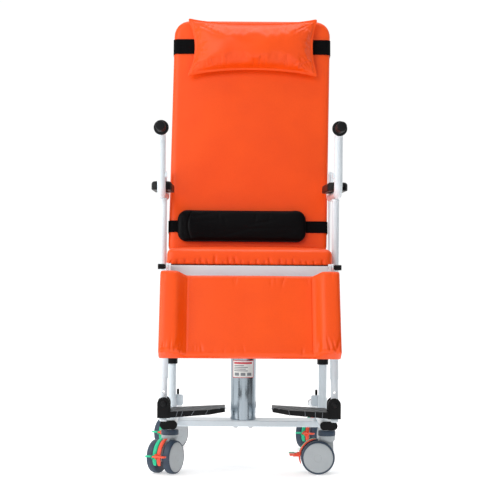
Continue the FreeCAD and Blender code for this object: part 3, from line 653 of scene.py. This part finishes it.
spots[:, 1] += on_front * sum(folds(spots, 2, 0, *fold) for fold in LEG_FOLDS)
spots[:, 1] += on_front * 0.0012 * slack(spots[:, (0, 2, 1)], (9, 7, 0), (0, 0, 1.7))
set_points(leg_pad, spots)
leg_pad.data.transform(LEG)
clothe(leg_pad, orange_cloth)
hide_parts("leg_pad")
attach(leg_pad, "legrest")

# ---- Head pillow: two panels sewn flat round a 9 mm flange and stuffed with fibre.
# Filling pulls all four sides inwards and leaves pointed corners and creases that run from them.
PILLOW_X, PILLOW_V, PILLOW_Y = 0.0140, 0.6935, -0.0610
HALF_X, HALF_V, FLANGE, SWELL, FLAT = 0.2030, 0.0880, 0.0090, 0.0400, 0.0014
side_steps, up_steps = 108, 50


def pillow_point(i, j, sign):
    """A point of the front (-1) or rear (1) panel."""
    s = (2 * i / side_steps - 1) * (1 + FLANGE / HALF_X)
    t = (2 * j / up_steps - 1) * (1 + FLANGE / HALF_V)
    si, ti = min(max(s, -1), 1), min(max(t, -1), 1)
    room = max(0.0, (1 - si * si) * (1 - ti * ti))
    high = FLAT + SWELL * min(1.0, room ** 0.42) * (0.55 if sign > 0 else 1.0)
    pull_side = 0.0200 if s < 0 else 0.0135
    pull_up = 0.0150 if t > 0 else 0.0190
    x = s * (HALF_X - pull_side * (1 - ti * ti))
    v = t * (HALF_V - pull_up * (1 - si * si) ** 0.8)
    return (x, sign * high, v)


panels = [[pillow_point(i, j, sign) for j in range(up_steps + 1) for i in range(side_steps + 1)]
          for sign in (-1, 1)]
pillow = quilt("pillow_cushion", *panels, side_steps + 1)
solid_out(pillow.data, smooth=True)
flange = [v.index for v in pillow.data.vertices if abs(v.co.y) < FLAT * 1.5]
swell(pillow, 0.0035, pinned=flange, mass=0.3, bending=0.25, shrink=0.05)
refine(pillow)
spots = points_of(pillow)
body = ramp(-spots[:, 1], 0.004, 0.020)
creases = np.zeros(len(spots))
dice = random.Random(22)
for corner_x in (-1, 1):
    for corner_v in (-1, 1):
        dx = corner_x * HALF_X - spots[:, 0]
        dv = corner_v * HALF_V - spots[:, 2]
        away = np.hypot(dx, dv)
        turn = np.arctan2(np.abs(dv), np.abs(dx))
        for _ in range(5):
            at, thin = dice.uniform(0.15, 1.35), dice.uniform(0.05, 0.10)
            long = dice.uniform(0.035, 0.080)
            creases += dice.uniform(0.5, 1.0) * np.exp(-((turn - at) / thin) ** 2) \
                * np.exp(-((away - 0.030) / long) ** 2)
for across, along, spans, count, seed in (
        (0, 2, [(0.055, 0.075), (-0.17, 0.17)], 17, 31),
        (0, 2, [(-0.075, -0.050), (-0.17, 0.17)], 17, 32),
        (2, 0, [(0.165, 0.190), (-0.06, 0.06)], 6, 33),
        (2, 0, [(-0.190, -0.165), (-0.06, 0.06)], 6, 34)):
    creases += folds(spots, along, across, spans, count, (0.010, 0.026), 1.0, 0.0032, seed)
spots[:, 1] += body * 0.0022 * np.minimum(creases, 1.3)
spots[:, 1] -= body * 0.0035 * slack(spots, 16, 0)
spots[:, 1] = np.clip(spots[:, 1] + PILLOW_Y, -0.1200, -0.0365)
spots[:, 0] += PILLOW_X
spots[:, 2] += PILLOW_V
set_points(pillow, spots)
pillow.data.transform(BACK)
clothe(pillow, orange_cloth)
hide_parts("pillow")
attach(pillow, "backrest")

# ---- Waist pad: a stuffed black bar with round ends, drawn down where the strap is sewn to it.
waist = cushion("waist_cushion", (-0.2300, 0.1920, 0.0460, 0.1530), (0.034,) * 4,
                -0.0385, 0.0560, 0.010, 0.0045, pitch=0.006)
refine(waist, voxel=0.0045, finer=False)
swell(waist, 0.002)
refine(waist)
spots = points_of(waist)
top = ramp(-spots[:, 1], 0.050, 0.056)
bow = -0.1945 + 6.0 * (spots[:, 2] - 0.1) ** 2
crease = np.exp(-((spots[:, 0] - bow) / 0.0028) ** 2) * 1.3
crease += folds(spots, 0, 2, [(-0.18, 0.18), (0.055, 0.145)], 12, (0.03, 0.09), 0.35, 0.004, 41)
crease += folds(spots, 2, 0, [(0.05, 0.15), (-0.22, 0.18)], 14, (0.010, 0.03), 0.35, 0.0035, 42)
spots[:, 1] += top * 0.0024 * np.minimum(crease, 1.5)
spots[:, 1] = np.clip(spots[:, 1], -0.0632, -0.0380)
set_points(waist, spots)
waist.data.transform(BACK)
clothe(waist, black_cloth)
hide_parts("waist_pad")
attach(waist, "backrest")

# ---- Webbing belts: woven polyester, 50 and 38 mm wide, round the whole backrest.
# They hold the pillow and the waist pad, and bend round the cushion's edges.
webbing, tree = new_material("black woven polyester webbing")
at = add(tree, "ShaderNodeTexCoord").outputs["UV"]
stretch = add(tree, "ShaderNodeMapping", {"Vector": at, "Scale": (420.0, 420.0, 1.0)})
weave = add(tree, "ShaderNodeTexChecker", {"Vector": stretch.outputs[0], "Scale": 1.0})
ribs = add(tree, "ShaderNodeTexWave", {"Vector": at, "Scale": 66.0}, bands_direction="Y")
height = add(tree, "ShaderNodeMath", {0: weave.outputs[1], 1: ribs.outputs[1]})
relief = add(tree, "ShaderNodeBump", {"Height": height.outputs[0], "Distance": 0.0005,
                                      "Strength": 0.5})
threads = add(tree, "ShaderNodeMix", {0: ribs.outputs[1], 6: linear("#020204"),
                                      7: linear("#060608")}, data_type="RGBA")
shader = add(tree, "ShaderNodeBsdfPrincipled", {
    "Base Color": threads.outputs[2], "Roughness": 0.72, "Normal": relief.outputs[0],
    "Specular IOR Level": 0.08})
add(tree, "ShaderNodeOutputMaterial", {0: shader.outputs[0]})

BELT_THICK, BELT_HALF, BELT_FRONT, BELT_REAR = 0.0015, 0.2589, -0.0362, 0.0410


def belt(name, low, high, node):
    """A closed band round the back, between two heights up it."""
    outline = rounded_outline(-BELT_HALF, BELT_HALF, BELT_FRONT, BELT_REAR,
                              (0.014, 0.014, 0.010, 0.010), 0.0, 0.004)
    loop = [Vector(point) for point in outline]
    count, travelled = len(loop), 0.0
    points, faces, rings = [], [], []
    for i, point in enumerate(loop):
        before, after = loop[i - 1], loop[(i + 1) % count]
        outward = Vector((after.y - before.y, before.x - after.x)).normalized()
        far = point + outward * BELT_THICK
        rings.append(travelled)
        travelled += (after - point).length
        for place, v in ((point, low), (far, low + 0.0003), (far, high - 0.0003), (point, high)):
            points.append((place.x + askew((low + high) / 2), place.y, v))
    for i in range(count):
        a, b = i * 4, (i + 1) % count * 4
        faces += [(a + k, a + (k + 1) % 4, b + (k + 1) % 4, b + k) for k in range(4)]
    band = new_piece(name, points, faces)
    mesh = band.data
    around = mesh.uv_layers.new(name="around")
    for loop_index, corner in enumerate(mesh.loops):
        station, k = divmod(corner.vertex_index, 4)
        closing = station == 0 and loop_index // 16 == count - 1
        around.data[loop_index].uv = (travelled if closing else rings[station],
                                      low if k in (0, 1) else high)
    solid_out(mesh)
    mesh.transform(BACK)
    clothe(band, webbing)
    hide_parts(node)
    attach(band, "backrest")


belt("pillow_belt", 0.677, 0.727, "pillow_strap")
belt("waist_belt", 0.0803, 0.1187, "waist_strap")

# ---- Arm pads and the covers of all hand grips: soft black polyurethane and ribbed rubber.
# Both are moulded, so they are smooth with a fine matt grain and small rounded edges.
soft_pu = surface("black integral skin polyurethane", "#050607", 0.46, bump=(1.8, 0.10),
                  tone=("#101114", 20.0), rough_spread=0.07, **{"Specular IOR Level": 0.2})
grip_rubber = surface("ribbed black rubber", "#08090B", 0.55, bump=(1.2, 0.08),
                      tone=("#0E0F12", 14.0), rough_spread=0.08, **{"Specular IOR Level": 0.2})


def lathe(name, profile, segments=64, material=None):
    """Turns a (radius, height) profile round the z axis. An end at radius 0 is closed."""
    points, faces, rows = [], [], []
    for radius, height in profile:
        if radius < 1e-6:
            rows.append([len(points)] * segments)
            points.append((0, 0, height))
        else:
            rows.append(list(range(len(points), len(points) + segments)))
            turns = [2 * math.pi * i / segments for i in range(segments)]
            points += [(radius * math.cos(a), radius * math.sin(a), height) for a in turns]
    for low, high in zip(rows, rows[1:]):
        for i in range(segments):
            j = (i + 1) % segments
            face = [low[i], low[j], high[j], high[i]]
            face = [v for n, v in enumerate(face) if v not in face[:n]]
            if len(face) > 2:
                faces.append(face)
    thing = new_piece(name, points, faces)
    solid_out(thing.data, smooth=True)
    thing.data.set_sharp_from_angle(angle=math.radians(38))
    if material:
        clothe(thing, material)
    return thing


PAD_EDGE, PAD_CORNER, GRIP_R, RIB_PITCH = 0.009, 0.022, 0.0150, 0.0072
for side in ("left", "right"):
    low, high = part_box(f"arm_pad_{side}")
    middle, size = (low + high) / 2, high - low
    levels = [(0.012, 0.0), (0.003, 0.0), (0.0006, 0.0008), (0.0, 0.003)]
    for a in map(math.radians, (0, 25, 50, 70, 90)):
        levels.append((PAD_EDGE * (1 - math.cos(a)), size.z - PAD_EDGE * (1 - math.sin(a))))
    levels += [(0.014, size.z + 0.0004), (0.020, size.z + 0.0008), (0.027, size.z + 0.001)]
    rings = []
    for inset, z in levels:
        outline = rounded_outline(-size.x / 2, size.x / 2, -size.y / 2, size.y / 2,
                                  (PAD_CORNER,) * 4, inset, 0.006)
        rings.append([(x, y, z) for x, y in outline])
    pad = skin(f"arm_cushion_{side}", rings)
    pad.data.transform(Matrix.Translation((middle.x, middle.y, low.z)))
    clothe(pad, soft_pu)
    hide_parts(f"arm_pad_{side}")
    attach(pad, f"arm_{side}")

    low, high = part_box(f"arm_grip_{side}")
    middle = (low + high) / 2
    long = high.y - low.y
    radius, flange = GRIP_R, (high.x - low.x) / 2
    profile = [(0.0, 0.0), (radius * 0.55, 0.0), (radius * 0.86, 0.0012), (radius, 0.0045)]
    ring = 0.012
    while ring < long - 0.014:
        profile += [(radius, ring), (radius - 0.0009, ring + 0.0008),
                    (radius - 0.0009, ring + 0.0022), (radius, ring + 0.0030)]
        ring += RIB_PITCH
    profile += [(radius, long - 0.006), (flange - 0.001, long - 0.0048),
                (flange, long - 0.0036), (flange, long - 0.0012), (flange - 0.0012, long),
                (0.0126, long), (0.0126, long - 0.002)]
    grip = lathe(f"arm_grip_cover_{side}", profile)
    grip.data.transform(Matrix.Translation((middle.x, low.y, middle.z))
                        @ spin(-90, "X"))
    clothe(grip, grip_rubber)
    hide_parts(f"arm_grip_{side}")
    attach(grip, f"arm_{side}")
clothe(nodes["push_grips"], grip_rubber)

# ---- Casters: twin wheels with polyurethane tyres under plain domed discs, in a moulded housing.
# A green and an orange pedal follow the wheels' curve, each with a flat tab for the foot.
tyre_rubber = surface("blue grey polyurethane tyre", "#34465A", 0.52, bump=(1.4, 0.06),
                      tone=("#2C3B4C", 16.0), rough_spread=0.07)
disc_plastic = surface("light grey polyamide disc", "#B4BABD", 0.40, bump=(1.6, 0.04),
                       tone=("#A9AFB3", 30.0), rough_spread=0.05)
green_plastic = surface("mint green polyamide pedal", "#10CE97", 0.42, bump=(1.5, 0.04),
                        tone=("#0DBD8B", 18.0), rough_spread=0.05)
orange_plastic = surface("orange red polyamide pedal", "#FF5E3C", 0.42, bump=(1.5, 0.04),
                         tone=("#F05032", 18.0), rough_spread=0.05)
neck_steel = surface("bright zinc plated caster neck", "#C2C6CA", 0.22, metal=1.0,
                     tone=("#A9AEB3", 9.0), rough_spread=0.06)

STEMS = {"front_left": (-0.234, -0.245, -27), "front_right": (0.234, -0.245, -90),
         "rear_left": (-0.234, 0.375, -32), "rear_right": (0.234, 0.375, -27)}
AXLE_Y, AXLE_Z, PIVOT_Z = -0.027, 0.050, 0.0585
TYRE = [(0.0145, 0.0100), (0.0145, 0.0440), (0.0150, 0.0462), (0.0168, 0.0484), (0.0200, 0.0495),
        (0.0265, 0.0499), (0.0330, 0.0495), (0.0362, 0.0484), (0.0380, 0.0464), (0.0383, 0.0452),
        (0.0378, 0.0444), (0.0345, 0.0442), (0.0345, 0.0100)]
DISC = [(0.0345, 0.0), (0.0345, 0.0438), (0.0376, 0.0439), (0.0384, 0.0430), (0.0389, 0.0400),
        (0.0394, 0.0300), (0.0397, 0.0150), (0.0398, 0.0118), (0.0394, 0.0112), (0.0394, 0.0106),
        (0.0399, 0.0100), (0.0400, 0.0050), (0.0400, 0.0)]


def arc_strip(name, x0, x1, inner, outer, start, end, material):
    """A bowed strip of plastic that follows the wheel: its ends thin down to rounded tips."""
    steps, middle = 44, (inner + outer) / 2
    points, faces = [], []
    for i in range(steps + 1):
        t = i / steps
        a = math.radians(start + (end - start) * t)
        tip = min(1.0, 6 * t + 0.35, 6 * (1 - t) + 0.35)
        crown = 0.0006 * math.sin(math.pi * t)
        half = (outer - inner) / 2 * tip
        narrow = (1 - tip) * (x1 - x0) * 0.22
        for x, r in ((x0 + narrow, middle - half), (x1 - narrow, middle - half),
                     (x1 - narrow, middle + half * 0.5), ((x0 + x1) / 2, middle + half + crown),
                     (x0 + narrow, middle + half * 0.5)):
            points.append((x, AXLE_Y - r * math.cos(a), AXLE_Z + r * math.sin(a)))
    for i in range(steps):
        for k in range(5):
            a, b = i * 5 + k, i * 5 + (k + 1) % 5
            faces.append((a, b, b + 5, a + 5))
    faces += [tuple(range(5)), tuple(range(steps * 5, steps * 5 + 5))]
    return soft_edged(name, points, faces, 0.0006, material)


def soft_edged(name, points, faces, edge, material):
    """A closed mesh with its sharp edges rounded."""
    thing = new_piece(name, points, faces)
    solid_out(thing.data)
    bevel = thing.modifiers.new("edge", "BEVEL")
    bevel.width, bevel.segments, bevel.limit_method = edge, 2, "ANGLE"
    bevel.angle_limit = math.radians(30)
    plain_mesh(thing)
    thing.data.set_sharp_from_angle(angle=math.radians(38))
    clothe(thing, material)
    return thing


def block(name, x0, x1, y0, y1, z0, z1, edge, material):
    """A box with rounded edges."""
    points = [(x, y, z) for z in (z0, z1) for y in (y0, y1) for x in (x0, x1)]
    faces = [(0, 1, 3, 2), (4, 5, 7, 6), (0, 1, 5, 4), (2, 3, 7, 6), (0, 2, 6, 4), (1, 3, 7, 5)]
    return soft_edged(name, points, faces, edge, material)


def joined(name, pieces):
    """Joins pieces with different materials into one object."""
    shell, materials = bmesh.new(), []
    for piece in pieces:
        start = len(shell.faces)
        shell.from_mesh(piece.data)
        shell.faces.ensure_lookup_table()
        material = piece.data.materials[0]
        if material not in materials:
            materials.append(material)
        for face in shell.faces[start:]:
            face.material_index = materials.index(material)
        bpy.data.objects.remove(piece)
    thing = new_piece(name, [], [])
    shell.to_mesh(thing.data)
    shell.free()
    for material in materials:
        thing.data.materials.append(material)
    return thing


TO_AXLE = Matrix.Translation((0, AXLE_Y, AXLE_Z)) @ spin(90, "Y")
for corner, (stem_x, stem_y, heading) in STEMS.items():
    place = Matrix.Translation((stem_x, stem_y, 0)) @ spin(heading, "Z")
    pieces = []
    for sign in (-1, 1):
        for name, section, plastic in (("tyre", TYRE + TYRE[:1], tyre_rubber),
                                       ("disc", DISC, disc_plastic)):
            pieces.append(lathe(name, [(r, x * sign) for x, r in section], 96, plastic))
    pieces.append(lathe("axle", [(0.0, -0.0345), (0.0060, -0.0345), (0.0060, 0.0345),
                                 (0.0, 0.0345)], 32, neck_steel))
    wheels = joined(f"wheels_seen_{corner}", pieces)
    wheels.data.transform(place @ TO_AXLE)
    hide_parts(f"caster_{corner}_wheels")
    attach(wheels, f"wheels_{corner}")

    turns = [math.radians(-18 + 216 * i / 40) for i in range(41)]
    outline = [(AXLE_Y + 0.0455 * math.cos(a), AXLE_Z + 0.0455 * math.sin(a)) for a in turns]
    outline = [point for point in outline if point[1] >= 0.0375]
    points = [(x, y, z) for x in (-0.0132, 0.0132) for y, z in outline]
    count = len(outline)
    faces = [tuple(range(count)), tuple(range(count, 2 * count))]
    faces += [(i, (i + 1) % count, (i + 1) % count + count, i + count) for i in range(count)]
    web = soft_edged("web", points, faces, 0.0012, disc_plastic)
    body = lathe("body", [(0.0, 0.0600), (0.0120, 0.0600), (0.0125, 0.0700), (0.0130, 0.0900),
                          (0.0236, 0.0985), (0.0246, 0.1010), (0.0250, 0.1125), (0.0, 0.1125)],
                 64, disc_plastic)
    rear_block = block("block", -0.0125, 0.0125, -0.0255, 0.0195, 0.0600, 0.1015, 0.0025,
                       disc_plastic)
    collar = lathe("collar", [(0.0, 0.1127), (0.0252, 0.1127), (0.0258, 0.1140),
                              (0.0260, 0.1180), (0.0260, 0.1250), (0.0252, 0.1272),
                              (0.0232, 0.1280), (0.0, 0.1280)], 64, tyre_rubber)
    neck = lathe("neck", [(0.0, 0.1279), (0.0145, 0.1279), (0.0145, 0.1296), (0.0110, 0.1300),
                          (0.0110, 0.1338), (0.0, 0.1338)], 48, neck_steel)
    housing = joined(f"housing_seen_{corner}", [web, body, rear_block, collar, neck])
    housing.data.transform(place)
    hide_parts(f"caster_{corner}_housing")
    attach(housing, f"caster_{corner}")

    pedals = []
    for sign, plastic in ((-1, green_plastic), (1, orange_plastic)):
        near, far = sorted((sign * 0.0012, sign * 0.0130))
        pedals.append(arc_strip("strip", near, far, 0.0520, 0.0562, -24, 83, plastic))
        near, far = sorted((sign * 0.0016, 0.0418 if sign > 0 else -0.0218))
        pedals.append(block("tab", near, far, -0.1120, -0.0962, 0.0562, 0.0608, 0.0014, plastic))
        near, far = sorted((sign * 0.0016, sign * 0.0104))
        pedals.append(block("link", near, far, -0.1010, -0.0775, 0.0562, 0.0608, 0.0010, plastic))
        rib_x = sign * 0.0060
        pedals.append(block("rib", rib_x - 0.0012, rib_x + 0.0012, -0.1000, -0.0800,
                            0.0500, 0.0570, 0.0006, plastic))
    hub = lathe("hub", [(0.0, 0.0762), (0.0045, 0.0762), (0.0050, 0.0770), (0.0050, 0.0880),
                        (0.0, 0.0880)], 32, orange_plastic)
    hub.data.transform(Matrix.Translation((0, 0, PIVOT_Z)) @ spin(90, "X"))
    rocker = joined(f"pedals_seen_{corner}", pedals + [hub])
    rocker.data.transform(place)
    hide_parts(f"caster_{corner}_pedals")
    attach(rocker, f"brake_{corner}")

# ---- Footplates: ribbed black polyamide, each on two ears that turn on the slide tube.
# Slanted ribs and cross ribs, laid by a node tree, keep a shoe from slipping on the tread.
for side in ("left", "right"):
    clothe(nodes[f"footplate_{side}"], black_nylon)
# The ribs are real, but black; their light grey colour is a painted highlight on the rib edges, not
# wear.
rib_highlight_grey = surface("black polyamide rib, painted grey highlight", "#7E848B", 0.5, bump=(1.4, 0.05),
                      tone=("#5B6067", 12.0), rough_spread=0.08)
RIB_SIZE, RIB_COUNT, RIB_STEP, RIB_SLANT = (0.0022, 0.104, 0.0016), 7, 0.0215, 0.42

ribbing = bpy.data.node_groups.new("tread_ribs", "GeometryNodeTree")
for name, kind, value in (("Count", "NodeSocketInt", RIB_COUNT),
                          ("Step", "NodeSocketFloat", RIB_STEP),
                          ("Slant", "NodeSocketFloat", RIB_SLANT), ("Seed", "NodeSocketInt", 5)):
    socket = ribbing.interface.new_socket(name, in_out="INPUT", socket_type=kind)
    socket.default_value = value
ribbing.interface.new_socket("Geometry", in_out="OUTPUT", socket_type="NodeSocketGeometry")
given = add(ribbing, "NodeGroupInput")
offset_xyz = add(ribbing, "ShaderNodeCombineXYZ", {0: given.outputs["Step"]})
line = add(ribbing, "GeometryNodeMeshLine", {"Count": given.outputs["Count"],
                                             "Offset": offset_xyz.outputs[0]})
bar = add(ribbing, "GeometryNodeMeshCube", {"Size": RIB_SIZE})
wander = add(ribbing, "FunctionNodeRandomValue", {2: -0.06, 3: 0.06,
                                                  "Seed": given.outputs["Seed"]})
turned = add(ribbing, "ShaderNodeMath", {0: given.outputs["Slant"], 1: wander.outputs[1]})
turn = add(ribbing, "ShaderNodeCombineXYZ", {2: turned.outputs[0]})
put = add(ribbing, "GeometryNodeInstanceOnPoints", {
    "Points": line.outputs[0], "Instance": bar.outputs[0], "Rotation": turn.outputs[0]})
real = add(ribbing, "GeometryNodeRealizeInstances", {0: put.outputs[0]})
coat = add(ribbing, "GeometryNodeSetMaterial", {0: real.outputs[0], "Material": rib_highlight_grey})
add(ribbing, "NodeGroupOutput", {0: coat.outputs[0]})
inputs = {item.name: item.identifier for item in ribbing.interface.items_tree
          if item.item_type == "SOCKET" and item.in_out == "INPUT"}

TREAD_RISE, TREAD_WIDE, TREAD_END = 0.0085, 0.161, 0.231
for side, sign in (("left", -1), ("right", 1)):
    holder = new_piece(f"tread_{side}", [], [])
    lay = holder.modifiers.new("ribs", "NODES")
    lay.node_group = ribbing
    lay[inputs["Count"]] = RIB_COUNT
    lay[inputs["Step"]] = RIB_STEP
    lay[inputs["Slant"]] = -RIB_SLANT * sign
    lay[inputs["Seed"]] = 5 if sign < 0 else 6
    plain_mesh(holder)
    for polygon in holder.data.polygons:
        polygon.use_smooth = False
    centre = Vector((sign * 0.1505, -0.2975, 0.1975))
    slope = Matrix.Rotation(sign * math.atan2(TREAD_RISE, TREAD_WIDE), 4, "Y")
    centring = Matrix.Translation((-RIB_STEP * (RIB_COUNT - 1) / 2, 0, 0))
    holder.data.transform(Matrix.Translation(centre) @ slope @ centring)
    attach(holder, f"footplate_{side}")

    # The pin of each ear is hidden under a round pressed-in cap.
    lug_x, lug_y, lug_z = sign * 0.2500, -0.3395, 0.2130
    cap = lathe(f"pin_cap_{side}", [(0.0, 0.0034), (0.0050, 0.0032), (0.0080, 0.0022),
                                    (0.0092, 0.0006), (0.0094, -0.0004), (0.0, -0.0004)], 40)
    cap.data.transform(Matrix.Translation((lug_x, lug_y, lug_z)) @ spin(90, "X"))
    clothe(cap, soft_pu)
    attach(cap, f"footplate_{side}")

# ---- Footplate front rims: thin cross webs, painted light grey as a highlight on their edges, slant across the rim.
WEBS = {"left": ((-0.2130, 0.30), (-0.1990, 0.35), (-0.1700, 0.60), (-0.1290, 0.55)),
        "right": ((0.2130, 0.05), (0.1930, -0.02), (0.1640, -0.10), (0.1180, -0.18))}
for side, webs in WEBS.items():
    pieces = []
    for x, slant in webs:
        low = 0.1765 + (TREAD_END - abs(x)) * TREAD_RISE / TREAD_WIDE
        web = block("web", -0.0006, 0.0006, -0.3662, -0.3640, 0.0, 0.0165, 0.0002, rib_highlight_grey)
        lean = Matrix.Identity(4)
        lean[0][2] = slant
        web.data.transform(Matrix.Translation((x, 0, low)) @ lean)
        pieces.append(web)
    webbed = joined(f"rim_webs_{side}", pieces)
    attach(webbed, f"footplate_{side}")

# ---- Foot pump housing behind the column: a black casting with three ears and the pedals' pin.
PIN = Matrix.Translation((0, 0.1080, 0.1700)) @ spin(90, "Y")
housing = [block("casting", -0.0340, 0.0250, 0.0412, 0.0958, 0.1341, 0.1858, 0.0030, black_nylon)]
for x0, x1 in ((-0.0340, -0.0280), (-0.0030, 0.0030), (0.0268, 0.0300)):
    housing.append(block("ear", x0, x1, 0.0900, 0.1080, 0.1612, 0.1788, 0.0004, black_nylon))
    eye = lathe("eye", [(0.0, x0), (0.0088, x0), (0.0088, x1), (0.0, x1)], 40, black_nylon)
    eye.data.transform(PIN)
    housing.append(eye)
pin = lathe("pin", [(0.0, -0.0340), (0.0039, -0.0340), (0.0039, 0.0300), (0.0, 0.0300)], 32, zinc)
pin.data.transform(PIN)
pump = joined("pump_housing", housing + [pin])
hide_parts("pump_block")
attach(pump, "base")
